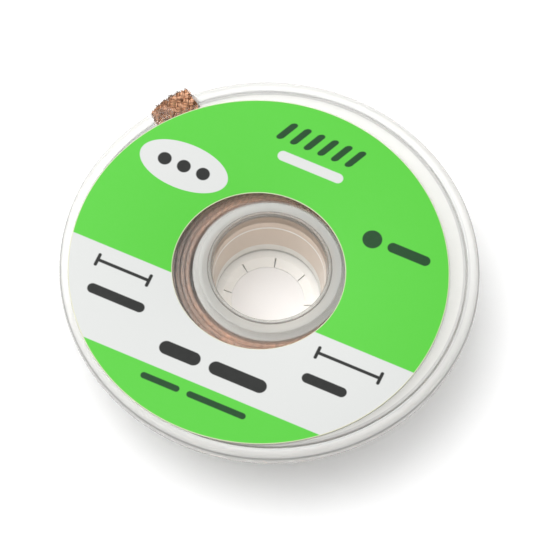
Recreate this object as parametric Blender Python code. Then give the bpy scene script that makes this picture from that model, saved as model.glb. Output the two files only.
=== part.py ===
"""Desoldering braid: copper wick wound on the hub of a clear plastic case.

The case is a bowl and a lid, a paper label lies on the lid, and the braid's cut end
comes out through a slot in the rim. Metres, +Z up. The origin is on the case's axis,
at its underside.
"""

from math import cos, pi, radians, sin, sqrt, tan

import bmesh
import bpy
from mathutils import Vector

# Gaps between pieces that touch on the real object
SEAT_GAP = 0.0003
LABEL_GAP = 0.0002

# Braid: a flat tape wound on edge, with a folded end that lies flat
BRAID_WIDTH = 0.0045
BRAID_THICKNESS = 0.0004
TURN_LOOSENESS = 0.0001
TURN_GROOVE = 0.00015
TURN_RISE = 0.0005
END_CLEARANCE = 0.0001
END_DIRECTION = radians(132)
END_ANGLE = radians(123)
END_OVERHANG = 0.0008
END_FOLD_DEPTH = 0.0025
FOLD_RADIUS = 0.0007

# Hub: the lid's tube makes the bore and stands inside the bowl's tube
BORE_DIAMETER = 0.0117
BORE_DRAFT = 0.00065
BORE_LIP_WIDTH = 0.00035
BORE_LIP_HEIGHT = 0.0002
TUBE_WALL = 0.0009
HUB_WALL = 0.0006
FLOOR_LIP_WIDTH = 0.00155
FLOOR_LIP_FLAT = 0.0007
FLOOR_LIP_EDGE = 0.0002
FLOOR_LIP = 0.00065

# Case: the bowl
CASE_DIAMETER = 0.042
WALL = 0.0009
FLOOR = 0.0010
WALL_TAPER = radians(31.5)
RIM_WIDTH = 0.0012
RIM_DEPTH = 0.0015
RIM_OVERHANG = 0.0009
RIM_ROUND = 0.0006
FOOT_ROUND = 0.0005
INSIDE_ROUND = 0.0004
EDGE_ROUND = 0.00012

# Case: the lid
LID_THICKNESS = 0.0009

# Slot in the rim for the braid's end, part of it roofed by the rim
ROOFED_WIDTH = 0.0015
CUTTER_EXCESS = 0.001

# Label
LABEL_MARGIN = 0.00045
LABEL_HOLE_MARGIN = 0.0010
LABEL_THICKNESS = 0.00015
LABEL_OFFSET = Vector((-0.00106, -0.0005))

CASE_SIDES = 64
COIL_SIDES = 48
ROUND_STEPS = 2
FOLD_STEPS = 6

# Heights, from the floor up: the coil, the braid's end over it, and the lid
coil_bottom = FLOOR + SEAT_GAP
coil_top = coil_bottom + BRAID_WIDTH
end_bottom = coil_top + END_CLEARANCE
end_top = end_bottom + BRAID_THICKNESS
ledge_height = end_top
lid_under = ledge_height + SEAT_GAP
case_height = lid_under + LID_THICKNESS
rim_bottom = case_height - RIM_DEPTH

# Radii, from the bore out: the lid's tube, the bowl's tube and the coil
bore_radius = BORE_DIAMETER / 2
bore_end_radius = bore_radius - BORE_DRAFT
floor_hole_radius = bore_end_radius - FLOOR_LIP_WIDTH
tube_radius = bore_radius + TUBE_WALL
hub_socket_radius = tube_radius + SEAT_GAP
hub_radius = hub_socket_radius + HUB_WALL
coil_inner = hub_radius + SEAT_GAP

# Radii, from the rim in: the lid's seat, the lid and the label
rim_radius = CASE_DIAMETER / 2
seat_radius = rim_radius - RIM_WIDTH
lid_radius = seat_radius - SEAT_GAP
label_radius = lid_radius - LABEL_MARGIN
label_hole_radius = hub_radius + LABEL_HOLE_MARGIN


def wall_outside(height):
    """Radius of the bowl's sloping wall, outside, at a height."""
    return rim_radius - RIM_OVERHANG - (rim_bottom - height) * tan(WALL_TAPER)


def wall_inside(height):
    """Radius of the bowl's sloping wall, inside, at a height."""
    return wall_outside(height) - WALL / cos(WALL_TAPER)


coil_outer = wall_inside(FLOOR) - SEAT_GAP

# The braid's end runs from the coil's outer turn to its cut edge past the rim
end_reach = rim_radius + END_OVERHANG
end_centre = Vector((end_reach * cos(END_ANGLE), end_reach * sin(END_ANGLE)))
end_along = Vector((cos(END_DIRECTION), sin(END_DIRECTION)))
end_across = Vector((sin(END_DIRECTION), -cos(END_DIRECTION)))


def end_length_to(radius):
    """How far back from its cut edge the end's middle line crosses a radius."""
    outward = end_centre.dot(end_along)
    return outward - sqrt(outward**2 - end_reach**2 + radius**2)


def clear_scene():
    for thing in list(bpy.data.objects):
        bpy.data.objects.remove(thing, do_unlink=True)


def material(name, colour, roughness, metallic=0.0, transmission=0.0, alpha=1.0):
    made = bpy.data.materials.new(name)
    made.use_nodes = True
    shader = made.node_tree.nodes["Principled BSDF"]
    shader.inputs["Base Color"].default_value = (*colour, 1.0)
    shader.inputs["Roughness"].default_value = roughness
    shader.inputs["Metallic"].default_value = metallic
    shader.inputs["Transmission Weight"].default_value = transmission
    shader.inputs["Alpha"].default_value = alpha
    return made


def rounded(corners):
    """An outline of (radius, height, rounding) corners, with each rounding made an arc."""
    points = []
    for place, (x, z, rounding) in enumerate(corners):
        corner = Vector((x, z))
        if not rounding:
            points.append(corner)
            continue
        before = Vector(corners[place - 1][:2])
        after = Vector(corners[(place + 1) % len(corners)][:2])
        into = (before - corner).normalized()
        out_of = (after - corner).normalized()
        half = into.angle(out_of) / 2
        run = rounding / tan(half)
        centre = corner + (into + out_of).normalized() * rounding / sin(half)
        first = corner + into * run - centre
        last = corner + out_of * run - centre
        for step in range(ROUND_STEPS + 1):
            share = step / ROUND_STEPS
            turn = first.angle_signed(last) * share
            points.append(centre + Vector((first.x * cos(turn) + first.y * sin(turn),
                                           first.y * cos(turn) - first.x * sin(turn))))
    return points


def turned(name, outline, sides, finish):
    """A closed outline at +X, running down its outer side, turned about Z."""
    mesh = bpy.data.meshes.new(name)
    count = len(outline)
    edges = [(place, (place + 1) % count) for place in range(count)]
    mesh.from_pydata([(point[0], 0.0, point[1]) for point in outline], edges, [])
    made = bpy.data.objects.new(name, mesh)
    bpy.context.collection.objects.link(made)
    screw = made.modifiers.new("turn", "SCREW")
    screw.steps = sides
    screw.render_steps = sides
    screw.angle = 2 * pi
    screw.use_merge_vertices = True
    screw.merge_threshold = 0.000001
    screw.use_smooth_shade = True
    mesh.materials.append(finish)
    return made


def solid(name, mesh_maker, finish=None):
    """An object whose mesh is filled in by mesh_maker(bmesh)."""
    mesh = bpy.data.meshes.new(name)
    shape = bmesh.new()
    mesh_maker(shape)
    bmesh.ops.recalc_face_normals(shape, faces=shape.faces)
    shape.to_mesh(mesh)
    shape.free()
    made = bpy.data.objects.new(name, mesh)
    bpy.context.collection.objects.link(made)
    if finish:
        mesh.materials.append(finish)
    return made


def helper(made):
    made.hide_render = True
    made.display_type = "WIRE"
    return made


def joined_by(target, other, operation):
    change = target.modifiers.new(other.name, "BOOLEAN")
    change.operation = operation
    change.solver = "EXACT"
    change.object = other


def block_along_end(name, behind, ahead, right, left, bottom, top):
    """A box set along the braid's end, measured from the middle of its cut edge."""

    def fill(shape):
        corners = []
        for height in (bottom, top):
            for along, across in ((-behind, -left), (-behind, right), (ahead, right), (ahead, -left)):
                spot = end_centre + end_along * along + end_across * across
                corners.append(shape.verts.new((spot.x, spot.y, height)))
        for face in ((0, 1, 2, 3), (4, 5, 6, 7), (0, 1, 5, 4), (1, 2, 6, 5), (2, 3, 7, 6), (3, 0, 4, 7)):
            shape.faces.new([corners[place] for place in face])

    return helper(solid(name, fill))


def make_case_body(finish):
    """The bowl: foot, sloping wall, rim with the lid's seat, hub tube and floor lip."""
    shoulder = rim_bottom - RIM_ROUND / 2
    outline = rounded([
        (seat_radius, case_height, EDGE_ROUND),
        (rim_radius, case_height, RIM_ROUND),
        (rim_radius, rim_bottom, RIM_ROUND),
        (wall_outside(shoulder), shoulder, 0),
        (wall_outside(0), 0, FOOT_ROUND),
        (floor_hole_radius, 0, 0),
        (floor_hole_radius, FLOOR_LIP_EDGE, 0),
        (bore_end_radius - FLOOR_LIP_FLAT, FLOOR_LIP, 0),
        (hub_socket_radius, FLOOR_LIP, 0),
        (hub_socket_radius, ledge_height, EDGE_ROUND),
        (hub_radius, ledge_height, EDGE_ROUND),
        (hub_radius, FLOOR, 0),
        (wall_inside(FLOOR), FLOOR, INSIDE_ROUND),
        (wall_inside(ledge_height), ledge_height, EDGE_ROUND),
        (seat_radius, ledge_height, 0),
    ])
    body = turned("case_body", outline, CASE_SIDES, finish)
    half = BRAID_WIDTH / 2 + SEAT_GAP
    behind = end_length_to(wall_inside(end_bottom - SEAT_GAP) - CUTTER_EXCESS)
    top = case_height + CUTTER_EXCESS
    slot = block_along_end("rim_slot", behind, rim_radius, half, half, end_bottom - SEAT_GAP, lid_under)
    notch = block_along_end("rim_notch", behind, rim_radius, half, half - ROOFED_WIDTH, end_bottom, top)
    joined_by(body, slot, "DIFFERENCE")
    joined_by(body, notch, "DIFFERENCE")
    return body


def make_case_lid(finish):
    """The lid: a disc with the tube that makes the bore and a bead round its mouth."""
    mouth = case_height + BORE_LIP_HEIGHT
    lip_radius = bore_radius + BORE_LIP_WIDTH
    tube_end = FLOOR_LIP + SEAT_GAP
    outline = rounded([
        (lid_radius, case_height, EDGE_ROUND),
        (lid_radius, lid_under, EDGE_ROUND),
        (tube_radius, lid_under, 0),
        (tube_radius, tube_end, EDGE_ROUND),
        (bore_end_radius, tube_end, EDGE_ROUND),
        (bore_radius, mouth, EDGE_ROUND),
        (lip_radius, mouth, EDGE_ROUND),
        (lip_radius, case_height, 0),
    ])
    return turned("case_lid", outline, CASE_SIDES, finish)


def make_label(finish):
    """The paper ring on the lid, stuck on a little off its centre."""
    bottom = case_height + LABEL_GAP
    top = bottom + LABEL_THICKNESS
    outline = [
        (label_radius, top),
        (label_radius, bottom),
        (label_hole_radius, bottom),
        (label_hole_radius, top),
    ]
    label = turned("label", outline, CASE_SIDES, finish)
    label.location = (*LABEL_OFFSET, 0)
    return label


def coil_outline():
    """The wound pack's section: grooves part the turns, and the inner turns stand higher."""
    room = coil_outer - coil_inner
    turns = int(room / (BRAID_THICKNESS + TURN_LOOSENESS))
    pitch = room / turns
    ridges = [(coil_inner, TURN_GROOVE)]
    for turn in range(turns):
        middle = coil_inner + (turn + 0.5) * pitch
        ridges.append((middle, 0))
        ridges.append((middle + pitch / 2, TURN_GROOVE))
    top = []
    for radius, depth in ridges:
        rise = TURN_RISE * (coil_outer - radius) / room
        top.append((radius, coil_top + rise - depth))
    bottom = [(radius, coil_bottom + depth) for radius, depth in reversed(ridges)]
    return top + bottom


def end_sections():
    """Middle and thickness direction of the end: up the coil's side, over, and out flat."""
    fold_start = -end_length_to(coil_outer - BRAID_THICKNESS)
    bend_bottom = end_top - BRAID_THICKNESS / 2 - FOLD_RADIUS
    sections = [((fold_start, bend_bottom - END_FOLD_DEPTH), 0)]
    for step in range(FOLD_STEPS + 1):
        turn = pi / 2 * step / FOLD_STEPS
        spot = (fold_start + FOLD_RADIUS * (1 - cos(turn)), bend_bottom + FOLD_RADIUS * sin(turn))
        sections.append((spot, turn))
    sections.append(((0, end_top - BRAID_THICKNESS / 2), pi / 2))
    return sections


def make_braid(finish):
    """The wound coil with its folded end, which are one braid."""

    def fill(shape):
        loops = []
        for (along, height), turn in end_sections():
            loop = []
            for side, face in ((-1, -1), (1, -1), (1, 1), (-1, 1)):
                out = along - face * cos(turn) * BRAID_THICKNESS / 2
                spot = end_centre + end_along * out + end_across * side * BRAID_WIDTH / 2
                lift = height + face * sin(turn) * BRAID_THICKNESS / 2
                loop.append(shape.verts.new((spot.x, spot.y, lift)))
            loops.append(loop)
        for first, second in zip(loops, loops[1:]):
            for place in range(4):
                after = (place + 1) % 4
                shape.faces.new((first[place], first[after], second[after], second[place]))
        shape.faces.new(loops[0])
        shape.faces.new(loops[-1])

    braid = turned("braid", coil_outline(), COIL_SIDES, finish)
    end = helper(solid("braid_end", fill))
    joined_by(braid, end, "UNION")
    return braid


def main():
    clear_scene()
    clear_plastic = material("clear_plastic", (0.90, 0.92, 0.92), 0.18, transmission=0.9, alpha=0.35)
    paper = material("label_paper", (0.16, 0.77, 0.11), 0.55)
    copper = material("copper_braid", (0.80, 0.38, 0.20), 0.38, metallic=1.0)
    make_case_body(clear_plastic)
    make_case_lid(clear_plastic)
    make_label(paper)
    make_braid(copper)


main()
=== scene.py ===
from math import cos, pi, radians, sin, sqrt, tan

import bmesh
import bpy
import numpy as np
from mathutils import Matrix, Vector


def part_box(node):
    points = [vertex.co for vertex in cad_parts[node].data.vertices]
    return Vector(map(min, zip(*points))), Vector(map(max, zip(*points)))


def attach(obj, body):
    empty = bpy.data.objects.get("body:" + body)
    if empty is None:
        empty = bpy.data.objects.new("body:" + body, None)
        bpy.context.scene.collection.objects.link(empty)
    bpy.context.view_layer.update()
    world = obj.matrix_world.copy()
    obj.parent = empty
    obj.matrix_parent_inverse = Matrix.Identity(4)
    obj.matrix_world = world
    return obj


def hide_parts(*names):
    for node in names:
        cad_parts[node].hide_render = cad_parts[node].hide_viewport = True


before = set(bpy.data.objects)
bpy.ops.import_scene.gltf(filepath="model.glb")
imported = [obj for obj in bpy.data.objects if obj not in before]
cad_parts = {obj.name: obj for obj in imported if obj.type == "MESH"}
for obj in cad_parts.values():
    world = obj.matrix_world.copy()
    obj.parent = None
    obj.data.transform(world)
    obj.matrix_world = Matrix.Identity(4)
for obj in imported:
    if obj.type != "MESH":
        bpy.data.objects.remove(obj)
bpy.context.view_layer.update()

# Startup objects
for name in ("Cube", "Camera", "Light"):
    if name in bpy.data.objects:
        bpy.data.objects.remove(bpy.data.objects[name], do_unlink=True)

# Sizes from the frame
MM = 0.001
_, body_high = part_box("case_body")
lid_low, lid_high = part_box("case_lid")
label_low, label_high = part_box("label")
braid_low, braid_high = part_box("braid")
rim_radius = body_high.x
case_height = body_high.z
mouth_height = lid_high.z
tube_end = lid_low.z
label_centre = (label_low + label_high) / 2
label_radius = (label_high.x - label_low.x) / 2
coil_outer = -braid_low.x
coil_bottom = braid_low.z
end_top = braid_high.z

# Case
LID_THICKNESS = 0.9 * MM
LID_GAP = 0.15 * MM
WALL = 0.9 * MM
FLOOR = 1.0 * MM
FLOOR_LIP = 0.65 * MM
WALL_TAPER = radians(31.5)
RIM_WIDTH = 1.2 * MM
RIM_DEPTH = 1.5 * MM
RIM_OVERHANG = 0.9 * MM
RIM_ROUND = 0.6 * MM
FOOT_ROUND = 0.5 * MM
INSIDE_ROUND = 0.4 * MM
EDGE_ROUND = 0.12 * MM
BORE_RADIUS = 5.85 * MM
BORE_DRAFT = 0.65 * MM
BORE_LIP_WIDTH = 0.35 * MM
TUBE_RADIUS = 6.75 * MM
HUB_SOCKET_RADIUS = 6.82 * MM
HUB_RADIUS = 7.57 * MM
FLOOR_HOLE_RADIUS = 3.65 * MM
FLOOR_LIP_FLAT = 0.7 * MM
FLOOR_LIP_EDGE = 0.2 * MM
FINGERS = 8
FINGER_TURN = radians(40)
FINGER_GAP = 0.14 * MM
CASE_SIDES = 192
ROUND_STEPS = 5
CUTTER_EXCESS = 1.0 * MM

# Braid
BRAID_WIDTH = 4.5 * MM
BRAID_THICKNESS = 0.4 * MM
WEAVE_ANGLE = radians(44)

# Wound part of the braid: a strip on edge, where it starts in radians, and how its turns wander
TURN_PITCH = 0.5 * MM
TURN_CLEARANCE = 0.02 * MM
STRIP_CORNER = 0.12 * MM
COIL_INNER = 7.62 * MM
COIL_START = 1.4
COIL_STEPS = 180
COIL_SEED = 4
INNER_RISE = 0.5 * MM
WAVES = 6
TURN_WOBBLE = 0.05 * MM
WOBBLE_RATES = (0.37, 0.61)
TURN_WAVE = 0.08 * MM
WAVE_RATES = (0.23, 0.47)

# Cut end of the braid: bundles of wires round a flattened tube
CARRIERS = 10
WIRES = 6
WIRE_RADIUS = 0.052 * MM
WIRE_SIDES = 6
WIRE_SPACING = 2.2 * WIRE_RADIUS
WIRE_STEP = 0.1 * MM
END_SEED = 11
WEAVE_LIFT = 0.13 * MM
LIFT_STEEPNESS = 1.25
CROWN = 0.14 * MM
TUBE_HALF = 0.06 * MM
END_DIRECTION = radians(132)
END_ANGLE = radians(123)
END_OVERHANG = 0.8 * MM
END_BULGE = 0.35 * MM
BULGE_LENGTH = 2.0 * MM
END_FLARE = 0.6 * MM
END_FLARE_LENGTH = 1.5 * MM
END_DROP = 2.5 * MM
FOLD_RADIUS = 0.7 * MM

# Unevenness of the cut end's wires
BUNDLE_STRAY = 0.05 * MM
CUT_STRAY = 0.25 * MM
LIFT_STRAY = 0.01 * MM
RIPPLE = 0.02 * MM
RIPPLE_LENGTH = 0.45 * MM
SPLAY_LENGTH = 0.9 * MM
SPLAY_WIDENING = 0.04
SPLAY_STRAY = 0.06 * MM

# Slot in the rim for the braid's end, part of it roofed by the rim
ROOFED_WIDTH = 1.5 * MM
SLOT_CLEARANCE = 0.3 * MM
SLOT_SIDE_CLEARANCE = 0.06 * MM
NOTCH_SHORT = 0.35 * MM

# Label
LABEL_HOLE_RADIUS = 8.65 * MM
PAPER_THICKNESS = 0.12 * MM
PAPER_GAP = 0.03 * MM
PRINT_TURN = radians(-18.8)

# View: the frame's width at the case, and where the case's centre lies in it, from its middle
VIEW_DISTANCE = 1.0
VIEW_WIDTH = 53.95 * MM
VIEW_ELEVATION = radians(64.2)
VIEW_AZIMUTH = radians(2.2)
VIEW_ROLL = radians(3.4)
VIEW_CENTRE = (-0.05 * MM, -0.17 * MM)

# Light: a white surround, brighter round one direction
KEY_DIRECTION = Vector((-0.50, 0.33, 0.85))
KEY_SPREAD = radians(49)
KEY_STRENGTH = 3.12
SKY_STRENGTH = 0.80

# Table: a pale plane that does not quite touch the case
TABLE_HALF = 3.0
TABLE_GAP = 0.02 * MM
TABLE_TONES = ((0.93, 0.93, 0.93, 1), (0.95, 0.95, 0.95, 1))

end_reach = rim_radius + END_OVERHANG
end_centre = Vector((end_reach * cos(END_ANGLE), end_reach * sin(END_ANGLE)))
end_along = Vector((cos(END_DIRECTION), sin(END_DIRECTION)))
end_across = Vector((sin(END_DIRECTION), -cos(END_DIRECTION)))
lid_under = case_height - LID_THICKNESS
ledge_height = lid_under - LID_GAP
seat_radius = rim_radius - RIM_WIDTH
lip_radius = BORE_RADIUS + BORE_LIP_WIDTH
foot_radius = BORE_RADIUS - BORE_DRAFT
rim_bottom = case_height - RIM_DEPTH
end_bottom = end_top - BRAID_THICKNESS


def wall_outside(height):
    return rim_radius - RIM_OVERHANG - (rim_bottom - height) * tan(WALL_TAPER)


def wall_inside(height):
    return wall_outside(height) - WALL / cos(WALL_TAPER)


def end_length_to(radius):
    """Length of the cut end from its edge back to where its middle line meets a radius."""
    outward = end_centre.dot(end_along)
    return outward - sqrt(outward**2 - end_reach**2 + radius**2)


# Sizes of the cut end: half the flattened tube's flat side, its girth, a bundle's share, the length
half_flat = BRAID_WIDTH / 2 - TUBE_HALF - WEAVE_LIFT - WIRE_RADIUS
end_girth = 4 * half_flat + 2 * pi * TUBE_HALF
bundle_spacing = end_girth / CARRIERS
end_length = end_length_to(coil_outer - BRAID_THICKNESS) + FOLD_RADIUS * (pi / 2 - 1) + END_DROP


# Material nodes


class Tree:
    """A material's node tree, with short calls for the nodes that it uses."""

    def __init__(self, name):
        self.material = bpy.data.materials.new(name)
        self.material.use_nodes = True
        self.nodes = self.material.node_tree.nodes
        self.links = self.material.node_tree.links
        self.shader = self.nodes["Principled BSDF"]

    def node(self, kind, inputs=(), **settings):
        made = self.nodes.new(kind)
        for key, value in settings.items():
            setattr(made, key, value)
        for key, value in dict(inputs).items():
            self.feed(made.inputs[key], value)
        return made

    def feed(self, socket, value):
        if isinstance(value, bpy.types.NodeSocket):
            self.links.new(value, socket)
        else:
            socket.default_value = value

    def coordinates(self, kind):
        return self.node("ShaderNodeTexCoord").outputs[kind]

    def parts(self, vector):
        return self.node("ShaderNodeSeparateXYZ", {"Vector": vector}).outputs

    def offset_along(self, place, start, way):
        """Distance from a start in a direction, both given in the plane."""
        offset = self.node("ShaderNodeVectorMath", {0: place, 1: (*start, 0)}, operation="SUBTRACT")
        product = self.node("ShaderNodeVectorMath", {0: offset.outputs["Vector"], 1: (*way, 0)},
                            operation="DOT_PRODUCT")
        return product.outputs["Value"]

    def math(self, operation, *values):
        made = self.nodes.new("ShaderNodeMath")
        made.operation = operation
        for socket, value in zip(made.inputs, values):
            self.feed(socket, value)
        return made.outputs[0]

    def hypot(self, x, y):
        squares = (self.math("MULTIPLY", side, side) for side in (x, y))
        return self.math("SQRT", self.math("ADD", *squares))

    def smooth(self, value, low, high, to_low=0.0, to_high=1.0):
        """A clamped ramp: to_low where the value is low, to_high where it is high."""
        made = self.node("ShaderNodeMapRange", {"Value": value, "From Min": low, "From Max": high,
                                                "To Min": to_low, "To Max": to_high})
        return made.outputs["Result"]

    def mix(self, share, first, second):
        made = self.nodes.new("ShaderNodeMix")
        made.data_type = "RGBA"
        self.feed(made.inputs["Factor"], share)
        self.feed(made.inputs["A"], first)
        self.feed(made.inputs["B"], second)
        return made.outputs["Result"]

    def noise(self, scale, detail=2.0, place=None):
        made = self.node("ShaderNodeTexNoise", {"Scale": scale, "Detail": detail})
        self.links.new(place or self.coordinates("Object"), made.inputs["Vector"])
        return made.outputs["Fac"]

    def bump(self, height, distance, strength=1.0):
        made = self.node("ShaderNodeBump", {"Height": height, "Distance": distance, "Strength": strength})
        self.links.new(made.outputs["Normal"], self.shader.inputs["Normal"])

    def surface(self, **values):
        for key, value in values.items():
            self.feed(self.shader.inputs[key.replace("_", " ")], value)
        return self.material


# Plastic

FAR = 30 * MM
ZONE_BLUR = 0.04 * MM
CLEAR = (0.955, 0.955, 0.925, 1)
FROST = (0.60, 0.605, 0.575, 1)
# Painted light: the ledge is paler than the frosted ring to make up for the lid's shadow on it
PAINTED_LEDGE_LIGHT = (0.80, 0.80, 0.77, 1)
# Painted light: a warm tint standing in for the copper's light seen through the frosted wall
PAINTED_COPPER_GLOW = (1.0, 0.86, 0.74, 1)
# Painted shade: dark lines standing in for the darkening at the lip's edges
PAINTED_EDGE_SHADE = (0.24, 0.24, 0.23, 1)
# Painted shade: a gray line standing in for the dark outline low on the rim's rounded edge
PAINTED_LOW_RIM_SHADE = (0.50, 0.50, 0.49, 1)
# Painted shade: gray standing in for the shade in the gap between the lid and the rim
PAINTED_GROOVE_SHADE = (0.78, 0.785, 0.77, 1)
RIM_TINT = (0.925, 0.925, 0.90, 1)
# Painted shade: a dark line standing in for the rim's outline high on its rounded edge
PAINTED_RIM_OUTLINE_SHADE = (0.34, 0.34, 0.33, 1)

# Finishes are milkiness, body, roughness and colour. The lid's holds wherever no zone does.
LID_FINISH = (0.04, 0.45, 0.05, CLEAR)

# Radii, heights and finish of each zone. A later zone lies over an earlier one.
PLASTIC_ZONES = {
    "window over the coil": ((HUB_RADIUS, 9.5 * MM), (6.2 * MM, FAR), (0.03, 0.30, 0.05, CLEAR)),
    "lid's outer part": ((17.8 * MM, 19.7 * MM), (6.5 * MM, FAR), (0.52, 0.78, 0.08, CLEAR)),
    "rim": ((19.7 * MM, FAR), (5.9 * MM, FAR), (0.50, 0.74, 0.06, RIM_TINT)),
    # Painted shade in the groove between the lid and the rim
    "painted shade in the groove round the lid": ((19.35 * MM, 20.05 * MM), (6.6 * MM, FAR), (0.50, 0.76, 0.06, PAINTED_GROOVE_SHADE)),
    # Painted shade: gray lines low and high on the rim's outer edge, standing in for its dark outline
    "painted shade line low on the rim": ((20.6 * MM, FAR), (6.2 * MM, 6.45 * MM), (0.55, 0.78, 0.06, PAINTED_LOW_RIM_SHADE)),
    "painted shade line high on the rim": ((20.6 * MM, FAR), (7.10 * MM, 7.27 * MM), (0.85, 0.85, 0.06, PAINTED_RIM_OUTLINE_SHADE)),
    "wall and floor": ((HUB_RADIUS + MM, FAR), (-MM, 5.8 * MM), (0.50, 0.55, 0.14, CLEAR)),
    "hub and tube": ((0.0, HUB_RADIUS + 0.1 * MM), (-MM, 6.1 * MM), (0.95, 0.80, 0.20, CLEAR)),
    # Hub wall beside the coil: painted warm glow standing in for the copper's light seen through the wall
    "hub beside the coil, painted copper glow": ((0.0, HUB_RADIUS + 0.1 * MM), (2.0 * MM, 6.1 * MM), (0.95, 0.62, 0.20, PAINTED_COPPER_GLOW)),
    # Painted highlight: a milky white band across the bore's wall, standing in for a highlight there
    "painted highlight line in the bore": ((0.0, BORE_RADIUS), (5.0 * MM, 5.2 * MM), (0.95, 0.90, 0.20, CLEAR)),
    # Hub's ledge painted lighter, to make up for the lid's shadow on it
    "hub's ledge, painted lighter": ((TUBE_RADIUS, HUB_RADIUS + 0.1 * MM), (6.3 * MM, 6.7 * MM), (0.60, 0.95, 0.45, PAINTED_LEDGE_LIGHT)),
    "ring round the mouth": ((BORE_RADIUS, 7.15 * MM), (7.2 * MM, FAR), (0.45, 0.95, 0.40, FROST)),
    "lip": ((0.0, lip_radius), (7.35 * MM, FAR), (0.25, 0.90, 0.03, FROST)),
    # Painted shade along the lip's outer and inner edges
    "painted shade on the lip's outer edge": ((lip_radius - 0.03 * MM, lip_radius + 0.04 * MM), (7.45 * MM, FAR),
                         (0.40, 0.85, 0.10, PAINTED_EDGE_SHADE)),
    "painted shade on the lip's inner edge": ((BORE_RADIUS - 0.12 * MM, BORE_RADIUS + 0.02 * MM), (7.2 * MM, FAR),
                         (0.30, 0.85, 0.05, PAINTED_EDGE_SHADE)),
    "lip at the floor": ((0.0, foot_radius), (-MM, 0.75 * MM), (1.0, 1.0, 0.25, CLEAR)),
}

# The lid over the slot, from the cut end's middle: along it, across it and in height
SLOT_ZONE = ((-3 * MM, FAR), (-3 * MM, 1.7 * MM), (lid_under - 0.1 * MM, FAR))
SLOT_FINISH = (0.02, 0.30, 0.05, CLEAR)


def zone_layers(tree):
    """Where each zone of the plastic lies, with its finish."""
    place = tree.coordinates("Object")
    x, y, height = tree.parts(place)
    radius = tree.hypot(x, y)

    def between(value, low, high):
        above = tree.smooth(value, low - ZONE_BLUR, low)
        below = tree.smooth(value, high + ZONE_BLUR, high)
        return tree.math("MULTIPLY", above, below)

    layers = []
    for radii, heights, finish in PLASTIC_ZONES.values():
        layers.append((tree.math("MULTIPLY", between(radius, *radii), between(height, *heights)), finish))
    ways = (tree.offset_along(place, end_centre, way) for way in (end_along, end_across))
    along, across, over = (between(value, *limits) for value, limits in zip((*ways, height), SLOT_ZONE))
    layers.append((tree.math("MULTIPLY", tree.math("MULTIPLY", along, across), over), SLOT_FINISH))
    return layers


def clear_plastic():
    """Clear plastic: each zone has its own milkiness, body, roughness and colour. Several zones carry
    painted shade, a painted highlight and painted light.
    """
    tree = Tree("clear_plastic")
    milk, body, roughness, colour = LID_FINISH
    for share, (zone_milk, zone_body, zone_roughness, zone_colour) in zone_layers(tree):
        milk = tree.smooth(share, 0.0, 1.0, milk, zone_milk)
        body = tree.smooth(share, 0.0, 1.0, body, zone_body)
        roughness = tree.smooth(share, 0.0, 1.0, roughness, zone_roughness)
        colour = tree.mix(share, colour, zone_colour)
    tree.bump(tree.noise(scale=180.0), distance=0.02 * MM, strength=0.4)
    cloud = tree.smooth(tree.noise(scale=400.0, detail=4.0), low=0.3, high=0.8, to_low=0.75, to_high=1.3)
    return tree.surface(Base_Color=colour, Roughness=tree.math("MULTIPLY", roughness, cloud), IOR=1.49,
                        Transmission_Weight=tree.math("SUBTRACT", 1.0, milk), Alpha=body,
                        Specular_IOR_Level=0.4)


# Copper

# Coordinates on the strip are in millimetres, and so is the spacing of its bundles
WEAVE_SPACING = 0.74
BUNDLE_SHARE, WIRE_SHARE = 0.7, 0.3
STREAK_STRETCH = (0.9, 14.0, 1.0)
COIL_DARK = (0.29, 0.215, 0.175, 1)
COIL_LIGHT = (0.46, 0.34, 0.27, 1)
# Painted light: brighter orange on the inner turns, where light reaches them past the label
PAINTED_INNER_TURN_LIGHT = (0.63, 0.37, 0.25, 1)
# Streaks along the turns: partly the wires' own streaks, partly painted glint
COIL_STREAK_AND_GLINT = (0.95, 0.50, 0.32, 1)
# Painted shade: duller gray-brown on the coil's left side
PAINTED_LEFT_SHADE = (0.24, 0.22, 0.205, 1)
# Painted light: brighter copper on the coil's far side
PAINTED_FAR_SIDE_LIGHT = (1.0, 0.62, 0.44, 1)
COIL_SHADE = (0.20, 0.10, 0.07, 1)
WIRE_DARK = (0.18, 0.08, 0.045, 1)
WIRE_LIGHT = (0.66, 0.37, 0.22, 1)
WIRE_GLINT = (0.90, 0.54, 0.36, 1)
CUT_DARK = (0.05, 0.03, 0.02, 1)

# Ramps of the tones: from, to, and the share at each where it isn't 0 and 1
GRAIN_RAMP = (0.35, 0.65)
# Painted light on the inner turns, by radius
PAINTED_INNER_TURN_LIGHT_RAMP = (8.7 * MM, 8.0 * MM, 0.0, 0.7)
# Ramp of the streaks, which are partly painted glint
STREAK_AND_GLINT_RAMP = (0.50, 0.60)
# Painted shade towards the left
PAINTED_LEFT_SHADE_RAMP = (-4.0 * MM, -8.5 * MM, 0.0, 0.62)
# Painted light towards the far side
PAINTED_FAR_SIDE_LIGHT_RAMP = (3.0 * MM, 8.5 * MM, 0.0, 0.60)
SHADE_RAMP = (0.25, 0.6, 0.5)
GLINT_RAMP = (0.44, 0.66, 0.0, 0.7)
CUT_RAMP = (-0.1 * MM, 0.15 * MM, 0.0, 0.7)


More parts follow.
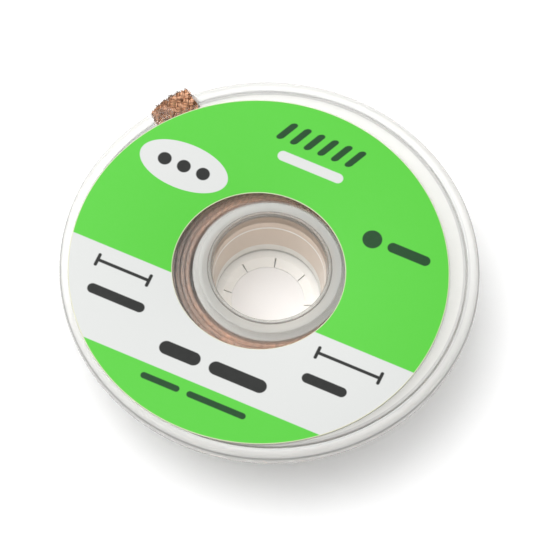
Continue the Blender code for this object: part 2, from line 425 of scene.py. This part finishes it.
def weave_height(tree):
    """Over and under of two sets of wires, from the strip's own length and girth in millimetres."""
    along, girth, _ = tree.parts(tree.coordinates("UV"))
    slant = tree.math("MULTIPLY", along, tan(WEAVE_ANGLE))
    first = tree.math("DIVIDE", tree.math("SUBTRACT", girth, slant), WEAVE_SPACING)
    second = tree.math("DIVIDE", tree.math("ADD", girth, slant), WEAVE_SPACING)
    floors = tree.math("ADD", tree.math("FLOOR", first), tree.math("FLOOR", second))
    turn = tree.math("FLOORED_MODULO", floors, 2.0)

    def arch(value):
        return tree.math("SINE", tree.math("MULTIPLY", value, pi))

    def crown(value):
        part = tree.math("FRACT", value)
        bundle = tree.math("MULTIPLY", arch(part), BUNDLE_SHARE)
        wires = arch(tree.math("FRACT", tree.math("MULTIPLY", part, WIRES)))
        return tree.math("ADD", bundle, tree.math("MULTIPLY", wires, WIRE_SHARE))

    one = tree.math("MULTIPLY", crown(first), turn)
    other = tree.math("MULTIPLY", crown(second), tree.math("SUBTRACT", 1.0, turn))
    return tree.math("ADD", one, other)


def copper_weave():
    """Tape wound on edge: streaked along its turns, partly with painted glints; painted light makes it
    brighter at the hub and on the far side, and painted shade makes it duller at the left.
    """
    tree = Tree("copper_weave")
    height = weave_height(tree)
    stretched = tree.node("ShaderNodeMapping", {"Vector": tree.coordinates("UV"), "Scale": STREAK_STRETCH})
    streak = tree.noise(scale=1.0, detail=4.0, place=stretched.outputs["Vector"])
    tree.bump(tree.math("ADD", height, streak), distance=0.08 * MM, strength=0.6)
    x, y, _ = tree.parts(tree.coordinates("Object"))
    grain = tree.noise(scale=1500.0, detail=3.0)
    tone = tree.mix(tree.smooth(grain, *GRAIN_RAMP), COIL_DARK, COIL_LIGHT)
    # Painted light: the inner turns are made brighter
    tone = tree.mix(tree.smooth(tree.hypot(x, y), *PAINTED_INNER_TURN_LIGHT_RAMP), tone, PAINTED_INNER_TURN_LIGHT)
    # Streaks along the turns, partly wire tone and partly painted glint
    tone = tree.mix(tree.smooth(streak, *STREAK_AND_GLINT_RAMP), tone, COIL_STREAK_AND_GLINT)
    # Painted shade: the coil is made duller at the left
    tone = tree.mix(tree.smooth(x, *PAINTED_LEFT_SHADE_RAMP), tone, PAINTED_LEFT_SHADE)
    # Painted light: the coil is made brighter on the far side
    tone = tree.mix(tree.smooth(y, *PAINTED_FAR_SIDE_LIGHT_RAMP), tone, PAINTED_FAR_SIDE_LIGHT)
    colour = tree.mix(tree.smooth(height, *SHADE_RAMP), COIL_SHADE, tone)
    return tree.surface(Base_Color=colour, Metallic=0.55, Roughness=0.45)


def copper_wire():
    """Bare wire with glints, each wire of its own tone, darker where it was cut."""
    tree = Tree("copper_wire")
    wire = tree.node("ShaderNodeAttribute", attribute_name="wire_tone").outputs["Fac"]
    glint = tree.smooth(tree.noise(scale=1600.0, detail=3.0), *GLINT_RAMP)
    cut_side = tree.smooth(tree.offset_along(tree.coordinates("Object"), end_centre, end_along), *CUT_RAMP)
    tone = tree.mix(wire, WIRE_DARK, WIRE_LIGHT)
    tone = tree.mix(glint, tone, WIRE_GLINT)
    tone = tree.mix(cut_side, tone, CUT_DARK)
    return tree.surface(Base_Color=tone, Metallic=0.9, Roughness=0.25)


# Print: places and sizes in millimetres from the label's middle, before the print's turn

GREEN = (0.080, 0.490, 0.038, 1)
WHITE = (0.575, 0.585, 0.575, 1)
DARK = (0.010, 0.011, 0.010, 1)
DARK_GREEN = (0.001, 0.045, 0.006, 1)
EDGE_INK = (0.62, 0.62, 0.45, 1)
EDGE_BLUR = 0.05
PAPER_EDGE = 0.07
BAND_TOP, BAND_BOTTOM = -3.84, -13.96
OVAL_PLACE, OVAL_HALVES = (-11.57, 7.47), (4.71, 2.52)
OVAL_BLUR = 0.01
STROKES, STROKE_PITCH = 6, 1.5
DOTS, DOT_PITCH = 3, 2.1
MARKS = (
    # across, up, width, height, slant, ink
    *((-3.75 + STROKE_PITCH * stroke, 15.4, 0.75, 2.3, 0.45, DARK_GREEN) for stroke in range(STROKES)),
    (0.0, 12.7, 7.1, 1.1, 0.0, WHITE),
    (8.9, 7.93, 2.0, 2.0, 0.0, DARK_GREEN),
    (12.9, 7.93, 4.6, 1.1, 0.0, DARK_GREEN),
    *((OVAL_PLACE[0] + DOT_PITCH * (dot - 1), OVAL_PLACE[1], 1.4, 1.4, 0.0, DARK) for dot in range(DOTS)),
    (-12.3, -5.6, 5.8, 0.35, 0.0, DARK),
    (-15.1, -5.6, 0.35, 1.5, 0.0, DARK),
    (-9.5, -5.6, 0.35, 1.5, 0.0, DARK),
    (-11.7, -8.7, 6.2, 1.1, 0.0, DARK),
    (12.4, -5.8, 7.0, 0.35, 0.0, DARK),
    (9.0, -5.8, 0.35, 1.5, 0.0, DARK),
    (15.8, -5.8, 0.35, 1.5, 0.0, DARK),
    (11.06, -8.8, 4.8, 1.1, 0.0, DARK),
    (-3.4, -11.6, 4.4, 1.5, 0.0, DARK),
    (2.9, -11.6, 6.2, 1.5, 0.0, DARK),
    (-3.9, -15.3, 4.2, 0.7, 0.0, DARK_GREEN),
    (2.2, -15.3, 6.4, 0.7, 0.0, DARK_GREEN),
)


def mark_share(tree, across, up, mark):
    """Where a bar with round ends is printed."""
    x, y, width, height, slant = mark
    radius = min(width, height) / 2
    rise = tree.math("SUBTRACT", up, y)
    side = tree.math("SUBTRACT", tree.math("SUBTRACT", across, x), tree.math("MULTIPLY", rise, slant))
    past = []
    for way, size in ((side, width), (rise, height)):
        beyond = tree.math("SUBTRACT", tree.math("ABSOLUTE", way), size / 2 - radius)
        past.append(tree.math("MAXIMUM", beyond, 0.0))
    return tree.smooth(tree.hypot(*past), radius + EDGE_BLUR, radius - EDGE_BLUR)


def band_share(tree, up):
    """Where the white band is printed."""
    middle = (BAND_TOP + BAND_BOTTOM) / 2
    half = (BAND_TOP - BAND_BOTTOM) / 2
    outside = tree.math("SUBTRACT", tree.math("ABSOLUTE", tree.math("SUBTRACT", up, middle)), half)
    return tree.smooth(outside, EDGE_BLUR, -EDGE_BLUR)


def oval_share(tree, across, up):
    """Where the white oval is printed."""
    reach = []
    for way, place, half in zip((across, up), OVAL_PLACE, OVAL_HALVES):
        reach.append(tree.math("DIVIDE", tree.math("SUBTRACT", way, place), half))
    return tree.smooth(tree.hypot(*reach), 1 + OVAL_BLUR, 1 - OVAL_BLUR)


def label_print():
    """Satin paper: green with a white band and oval, dark marks, and pale cut edges."""
    tree = Tree("label_print")
    turned_place = tree.node("ShaderNodeMapping", {"Vector": tree.coordinates("Object"),
                                                   "Rotation": (0, 0, -PRINT_TURN),
                                                   "Scale": (1 / MM, 1 / MM, 1 / MM)}, vector_type="POINT")
    across, up, _ = tree.parts(turned_place.outputs["Vector"])
    ink = tree.mix(band_share(tree, up), GREEN, WHITE)
    ink = tree.mix(oval_share(tree, across, up), ink, WHITE)
    for *mark, colour in MARKS:
        ink = tree.mix(mark_share(tree, across, up, mark), ink, colour)
    radius = tree.hypot(across, up)
    for edge, inward in ((LABEL_HOLE_RADIUS / MM, 1), (label_radius / MM, -1)):
        start = edge + inward * PAPER_EDGE
        blur = inward * EDGE_BLUR
        ink = tree.mix(tree.smooth(radius, start + blur, start - blur), ink, EDGE_INK)
    grain = tree.noise(scale=2500.0, detail=3.0)
    tree.bump(grain, distance=0.004 * MM, strength=0.4)
    roughness = tree.smooth(grain, low=0.3, high=0.7, to_low=0.38, to_high=0.5)
    return tree.surface(Base_Color=ink, Roughness=roughness, Specular_IOR_Level=0.25)


# Mesh making

BOX_FACES = ((0, 1, 2, 3), (4, 5, 6, 7), (0, 1, 5, 4), (1, 2, 6, 5), (2, 3, 7, 6), (3, 0, 4, 7))

# Angles past which an edge looks sharp
SHARP_CASE = radians(50)
SHARP_LABEL = radians(60)
SHARP_COIL = radians(60)
SHARP_WIRE = radians(80)

# A direction that no wire runs in
SIDE_GUIDE = (0.31, 0.17, 0.93)


def rounded(corners):
    """Outline points, with each corner that has a radius turned into an arc."""
    points = []
    for place, (x, z, rounding) in enumerate(corners):
        corner = Vector((x, z))
        if not rounding:
            points.append(corner)
            continue
        into = (Vector(corners[place - 1][:2]) - corner).normalized()
        out_of = (Vector(corners[(place + 1) % len(corners)][:2]) - corner).normalized()
        half = into.angle(out_of) / 2
        centre = corner + (into + out_of).normalized() * rounding / sin(half)
        first = corner + into * rounding / tan(half) - centre
        last = corner + out_of * rounding / tan(half) - centre
        for step in range(ROUND_STEPS + 1):
            turn = first.angle_signed(last) * step / ROUND_STEPS
            points.append(centre + Vector((first.x * cos(turn) + first.y * sin(turn),
                                           first.y * cos(turn) - first.x * sin(turn))))
    return points


def mesh_object(name, verts, faces, material=None, smooth_to=None):
    mesh = bpy.data.meshes.new(name)
    mesh.from_pydata([tuple(v) for v in verts], [], [tuple(f) for f in faces])
    made = bpy.data.objects.new(name, mesh)
    bpy.context.scene.collection.objects.link(made)
    shape = bmesh.new()
    shape.from_mesh(mesh)
    bmesh.ops.recalc_face_normals(shape, faces=shape.faces)
    shape.to_mesh(mesh)
    shape.free()
    if material:
        mesh.materials.append(material)
    if smooth_to is not None:
        mesh.shade_smooth()
        mesh.set_sharp_from_angle(angle=smooth_to)
    return made


def ring_faces(rings, points, closed_rings=True):
    """Faces between rings of points, each ring closed on itself."""
    faces = []
    for ring in range(rings if closed_rings else rings - 1):
        for point in range(points):
            a = ring * points + point
            b = ring * points + (point + 1) % points
            c = (ring + 1) % rings * points + (point + 1) % points
            d = (ring + 1) % rings * points + point
            faces.append((a, b, c, d))
    return faces


def turned(name, outline, sides, material, smooth_to=SHARP_CASE):
    verts = []
    for side in range(sides):
        angle = 2 * pi * side / sides
        verts += [(p[0] * cos(angle), p[0] * sin(angle), p[1]) for p in outline]
    return mesh_object(name, verts, ring_faces(sides, len(outline)), material, smooth_to)


def block(name, behind, ahead, right, left, bottom, top):
    """A box round the braid's end, sized from the end's middle."""
    verts = []
    for height in (bottom, top):
        for along, across in ((-behind, -left), (-behind, right), (ahead, right), (ahead, -left)):
            spot = end_centre + end_along * along + end_across * across
            verts.append((spot.x, spot.y, height))
    return mesh_object(name, verts, BOX_FACES)


def finger_gaps():
    """Thin radial slots that part the lip round the floor hole into fingers."""
    verts, faces = [], []
    inner, outer = FLOOR_HOLE_RADIUS - CUTTER_EXCESS, foot_radius - FLOOR_LIP_FLAT
    for finger in range(FINGERS):
        angle = FINGER_TURN + 2 * pi * finger / FINGERS
        first = len(verts)
        for height in (-CUTTER_EXCESS, FLOOR_LIP + CUTTER_EXCESS):
            for out, side in ((inner, -1), (outer, -1), (outer, 1), (inner, 1)):
                across = side * FINGER_GAP / 2
                verts.append((out * cos(angle) - across * sin(angle),
                              out * sin(angle) + across * cos(angle), height))
        for face in BOX_FACES:
            faces.append([first + corner for corner in face])
    return mesh_object("finger_gaps", verts, faces)


def cut(target, cutter):
    change = target.modifiers.new("cut", "BOOLEAN")
    change.operation = "DIFFERENCE"
    change.object = cutter
    graph = bpy.context.evaluated_depsgraph_get()
    mesh = bpy.data.meshes.new_from_object(target.evaluated_get(graph))
    target.modifiers.clear()
    target.data = mesh
    bpy.data.objects.remove(cutter, do_unlink=True)


# Case


def make_bowl(plastic):
    shoulder = rim_bottom - RIM_ROUND / 2
    bowl = turned("bowl", rounded([
        (seat_radius, case_height, EDGE_ROUND),
        (rim_radius, case_height, RIM_ROUND),
        (rim_radius, rim_bottom, RIM_ROUND),
        (wall_outside(shoulder), shoulder, 0),
        (wall_outside(0), 0, FOOT_ROUND),
        (FLOOR_HOLE_RADIUS, 0, EDGE_ROUND / 2),
        (FLOOR_HOLE_RADIUS, FLOOR_LIP_EDGE, EDGE_ROUND / 2),
        (foot_radius - FLOOR_LIP_FLAT, FLOOR_LIP, EDGE_ROUND),
        (HUB_SOCKET_RADIUS, FLOOR_LIP, 0),
        (HUB_SOCKET_RADIUS, ledge_height, EDGE_ROUND),
        (HUB_RADIUS, ledge_height, EDGE_ROUND),
        (HUB_RADIUS, FLOOR, 0),
        (wall_inside(FLOOR), FLOOR, INSIDE_ROUND),
        (wall_inside(ledge_height), ledge_height, EDGE_ROUND),
        (seat_radius, ledge_height, 0),
    ]), CASE_SIDES, plastic)
    half = BRAID_WIDTH / 2 + SLOT_SIDE_CLEARANCE
    slot_bottom = end_bottom - SLOT_CLEARANCE
    behind = end_length_to(wall_inside(slot_bottom) - CUTTER_EXCESS)
    cut(bowl, block("slot", behind, rim_radius, half, half + END_FLARE, slot_bottom, lid_under))
    cut(bowl, block("notch", behind, rim_radius, half - NOTCH_SHORT, half - ROOFED_WIDTH, end_bottom,
                    case_height + CUTTER_EXCESS))
    cut(bowl, finger_gaps())
    bowl.data.set_sharp_from_angle(angle=SHARP_CASE)
    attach(bowl, "root")
    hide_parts("case_body")
    return bowl


def make_lid(plastic):
    edge = seat_radius - LID_GAP
    lid = turned("lid", rounded([
        (edge, case_height, EDGE_ROUND),
        (edge, lid_under, EDGE_ROUND),
        (TUBE_RADIUS, lid_under, 0),
        (TUBE_RADIUS, tube_end, EDGE_ROUND),
        (foot_radius, tube_end, EDGE_ROUND),
        (BORE_RADIUS, mouth_height, EDGE_ROUND),
        (lip_radius, mouth_height, EDGE_ROUND),
        (lip_radius, case_height, 0),
    ]), CASE_SIDES, plastic)
    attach(lid, "root")
    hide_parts("case_lid")
    return lid


def make_label(paper):
    bottom = PAPER_GAP
    top = bottom + PAPER_THICKNESS
    round_off = PAPER_THICKNESS / 3
    label = turned("paper_label", rounded([
        (label_radius, top, round_off),
        (label_radius, bottom, round_off),
        (LABEL_HOLE_RADIUS, bottom, round_off),
        (LABEL_HOLE_RADIUS, top, round_off),
    ]), 2 * CASE_SIDES, paper, SHARP_LABEL)
    label.location = (label_centre.x, label_centre.y, case_height)
    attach(label, "root")
    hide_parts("label")
    return label


# Braid


def strip_section():
    """The strip's cross-section, out from and up from its middle, with its corners rounded."""
    half_t, half_w = TURN_PITCH / 2 - TURN_CLEARANCE, BRAID_WIDTH / 2
    section = []
    for sx, sz in ((1, 1), (1, -1), (-1, -1), (-1, 1)):
        quarter = [(half_t - STRIP_CORNER * (1 - cos(a)), half_w - STRIP_CORNER * (1 - sin(a)))
                   for a in (0, pi / 4, pi / 2)]
        if sx * sz > 0:
            quarter.reverse()
        section += [(sx * x, sz * z) for x, z in quarter]
    return np.array(section)


def make_coil(copper):
    """The wound tape: one strip on edge, turn on turn, each turn a little out of true."""
    rng = np.random.RandomState(COIL_SEED)
    section = strip_section()
    half_t, half_w = section.max(axis=0)
    depth = coil_outer - COIL_INNER - BRAID_THICKNESS
    count = int(depth / TURN_PITCH * COIL_STEPS)
    share = np.arange(count + 1) / count
    angles = 2 * pi * np.arange(count + 1) / COIL_STEPS
    starts = rng.uniform(0, 2 * pi, (WAVES, 2))

    def wave(rates, column):
        lowest, step = rates
        return sum(np.sin(angles * (lowest + step * k) + starts[k, column]) for k in range(WAVES)) / WAVES

    radii = COIL_INNER + half_t + depth * share + TURN_WOBBLE * wave(WOBBLE_RATES, 0)
    rise = TURN_WAVE * (wave(WAVE_RATES, 1) + 1) + INNER_RISE * (1 - share)
    verts = []
    for angle, radius, height in zip(COIL_START - angles, radii, coil_bottom + half_w + rise):
        ring = radius + section[:, 0]
        verts += list(zip(ring * np.cos(angle), ring * np.sin(angle), height + section[:, 1]))
    points = len(section)
    faces = ring_faces(count + 1, points, closed_rings=False)
    faces += [tuple(range(points)), tuple(range(count * points, (count + 1) * points))]
    coil = mesh_object("wound_braid", verts, faces, copper, SHARP_COIL)
    add_weave_coordinates(coil, section, radii)
    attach(coil, "root")
    return coil


def add_weave_coordinates(coil, section, radii):
    """Length along the strip and way round its section, at every corner of the coil's faces."""
    points = len(section)
    step_ahead = np.roll(section, -1, axis=0) - section
    girth = np.concatenate([[0], np.cumsum(np.hypot(*step_ahead.T))]) / MM
    lengths = np.concatenate([[0], np.cumsum(radii[1:] * 2 * pi / COIL_STEPS)]) / MM
    uv = coil.data.uv_layers.new(name="weave")
    for face in coil.data.polygons:
        rings = [index // points for index in face.vertices]
        spots = [index % points for index in face.vertices]
        seam = 0 in spots and points - 1 in spots
        for loop, ring, spot in zip(face.loop_indices, rings, spots):
            around = girth[points] if seam and spot == 0 else girth[spot]
            uv.data[loop].uv = (lengths[ring], around)


def end_path(lengths):
    """Places on the end's middle line and its upward directions, from the cut edge back."""
    flat = end_length_to(coil_outer - BRAID_THICKNESS) - FOLD_RADIUS
    height = end_top - BRAID_THICKNESS / 2
    along, rise = np.empty_like(lengths), np.empty_like(lengths)
    tip_along, tip_rise = np.zeros_like(lengths), np.ones_like(lengths)
    arc = FOLD_RADIUS * pi / 2
    for place, length in enumerate(lengths):
        if length <= flat:
            along[place], rise[place] = -length, height
            continue
        turn = min(length - flat, arc) / FOLD_RADIUS
        along[place] = -flat - FOLD_RADIUS * sin(turn)
        rise[place] = height - FOLD_RADIUS * (1 - cos(turn)) - max(0.0, length - flat - arc)
        tip_along[place], tip_rise[place] = -sin(turn), cos(turn)
    return along, rise, tip_along, tip_rise


def around_flat_tube(spot):
    """Place and outward direction on the flattened tube's section, from the way round it."""
    flat, arc = 2 * half_flat, pi * TUBE_HALF
    side = np.where(spot < flat + arc, 1.0, -1.0)
    run = np.where(spot < flat + arc, spot, spot - flat - arc)
    turn = np.clip(run - flat, 0, None) / TUBE_HALF
    out_x, out_z = side * np.sin(turn), side * np.cos(turn)
    x = side * (np.minimum(run, flat) - half_flat) + TUBE_HALF * out_x
    return x, TUBE_HALF * out_z, out_x, out_z


def weave_round_tube(rng, lengths, hand, carrier, bundle, wire):
    """A wire's way round the tube, and how far it stands off it."""
    beside = wire - (WIRES - 1) / 2
    ripple = RIPPLE * np.sin(lengths / RIPPLE_LENGTH + rng.uniform(0, 2 * pi))
    run = hand * lengths * tan(WEAVE_ANGLE)
    around = bundle + beside * WIRE_SPACING / cos(WEAVE_ANGLE) + ripple + run
    crossing = (around + run) / bundle_spacing + carrier
    over = hand * np.clip(LIFT_STEEPNESS * np.sin(pi * crossing), -1, 1)
    arch = 1 - (2 * beside / WIRES)**2
    return np.mod(around, end_girth), over * WEAVE_LIFT + arch * CROWN + rng.normal(0, LIFT_STRAY)


def loosened(rng, lengths, around, lift):
    """Places across and up from the middle line, looser towards the cut edge."""
    across, up, out_x, out_z = around_flat_tube(around)
    splay = np.clip(1 - lengths / SPLAY_LENGTH, 0, 1)**2
    across = (across + out_x * lift) * (1 + SPLAY_WIDENING * splay) + rng.normal(0, SPLAY_STRAY) * splay
    up = up + out_z * lift + rng.normal(0, SPLAY_STRAY) * splay
    flare = END_FLARE * np.clip(lengths / END_FLARE_LENGTH, 0, 1)
    return across + flare * np.clip(2 * across / BRAID_WIDTH, -1, 0), up


def folded(lengths, across, up):
    """Places on the folded end, bulged out at the middle of the cut edge."""
    along, rise, tip_along, tip_rise = end_path(lengths)
    near_cut = np.clip(1 - lengths / BULGE_LENGTH, 0, 1)
    bulge = END_BULGE * (1 - (2 * across / BRAID_WIDTH)**2) * near_cut
    out = along + tip_along * up + bulge
    return np.stack([end_centre.x + end_along.x * out + end_across.x * across,
                     end_centre.y + end_along.y * out + end_across.y * across,
                     rise + tip_rise * up], axis=1)


def make_end(copper):
    """The folded end: wires in bundles that run both ways round the flattened tube."""
    rng = np.random.RandomState(END_SEED)
    verts, faces, tones = [], [], []
    for hand in (1, -1):
        for carrier in range(CARRIERS):
            bundle = (carrier + 0.5) * bundle_spacing + rng.normal(0, BUNDLE_STRAY)
            for wire in range(WIRES):
                lengths = np.arange(rng.uniform(0, CUT_STRAY), end_length, WIRE_STEP)
                tones += [rng.uniform(0, 1)] * (len(lengths) * WIRE_SIDES)
                around, lift = weave_round_tube(rng, lengths, hand, carrier, bundle, wire)
                across, up = loosened(rng, lengths, around, lift)
                add_tube(verts, faces, folded(lengths, across, up), WIRE_RADIUS, WIRE_SIDES)
    end = mesh_object("braid_end", verts, faces, copper, SHARP_WIRE)
    shade = end.data.attributes.new("wire_tone", "FLOAT", "POINT")
    shade.data.foreach_set("value", tones)
    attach(end, "root")
    return end


def add_tube(verts, faces, path, radius, sides):
    """A closed tube round a path."""
    ahead = np.gradient(path, axis=0)
    ahead /= np.linalg.norm(ahead, axis=1)[:, None]
    side = np.cross(ahead, SIDE_GUIDE)
    side /= np.linalg.norm(side, axis=1)[:, None]
    top = np.cross(side, ahead)
    first = len(verts)
    for spot, s, t in zip(path, side, top):
        for corner in range(sides):
            angle = 2 * pi * corner / sides
            verts.append(spot + radius * (cos(angle) * s + sin(angle) * t))
    rings = len(path)
    faces += [[first + index for index in face] for face in ring_faces(rings, sides, closed_rings=False)]
    faces.append(tuple(range(first, first + sides)))
    faces.append(tuple(range(first + (rings - 1) * sides, first + rings * sides)))


# Stage


def make_table():
    tree = Tree("floor_white")
    shade = tree.mix(tree.noise(scale=30.0), *TABLE_TONES)
    material = tree.surface(Base_Color=shade, Roughness=0.9, Specular_IOR_Level=0.1)
    corners = [(x * TABLE_HALF, y * TABLE_HALF, -TABLE_GAP) for x, y in ((-1, -1), (1, -1), (1, 1), (-1, 1))]
    floor = mesh_object("floor", corners, [(0, 1, 2, 3)], material)


def make_light():
    world = bpy.data.worlds.new("studio")
    world.use_nodes = True
    nodes, links = world.node_tree.nodes, world.node_tree.links
    place = nodes.new("ShaderNodeTexCoord")
    toward = nodes.new("ShaderNodeVectorMath")
    toward.operation = "DOT_PRODUCT"
    toward.inputs[1].default_value = KEY_DIRECTION.normalized()
    links.new(place.outputs["Generated"], toward.inputs[0])
    lobe = nodes.new("ShaderNodeMapRange")
    lobe.interpolation_type = "SMOOTHSTEP"
    lobe.inputs["From Min"].default_value = cos(KEY_SPREAD)
    lobe.inputs["From Max"].default_value = 1.0
    lobe.inputs["To Min"].default_value = SKY_STRENGTH
    lobe.inputs["To Max"].default_value = KEY_STRENGTH
    links.new(toward.outputs["Value"], lobe.inputs["Value"])
    background = nodes["Background"]
    background.inputs["Color"].default_value = (1, 1, 1, 1)
    links.new(lobe.outputs["Result"], background.inputs["Strength"])
    bpy.context.scene.world = world


def make_camera():
    """The photograph's view: 64 degrees down along +Y, rolled a little to the left."""
    data = bpy.data.cameras.new("camera")
    data.sensor_width = 36.0
    data.lens = data.sensor_width * VIEW_DISTANCE / VIEW_WIDTH
    data.clip_start = 0.01
    data.clip_end = 20.0
    camera = bpy.data.objects.new("camera", data)
    bpy.context.scene.collection.objects.link(camera)
    turn = (Matrix.Rotation(VIEW_AZIMUTH, 4, "Z") @ Matrix.Rotation(pi / 2 - VIEW_ELEVATION, 4, "X")
            @ Matrix.Rotation(VIEW_ROLL, 4, "Z"))
    target = Vector((0, 0, rim_bottom + RIM_ROUND))
    back = turn @ Vector((-VIEW_CENTRE[0], -VIEW_CENTRE[1], VIEW_DISTANCE))
    camera.matrix_world = Matrix.Translation(target + back) @ turn
    bpy.context.scene.camera = camera


make_camera()
make_table()
make_light()
bpy.context.scene.view_settings.view_transform = "Standard"
plastic = clear_plastic()
make_bowl(plastic)
make_lid(plastic)
make_label(label_print())
coil = make_coil(copper_weave())
end = make_end(copper_wire())
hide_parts("braid")
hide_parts("braid")
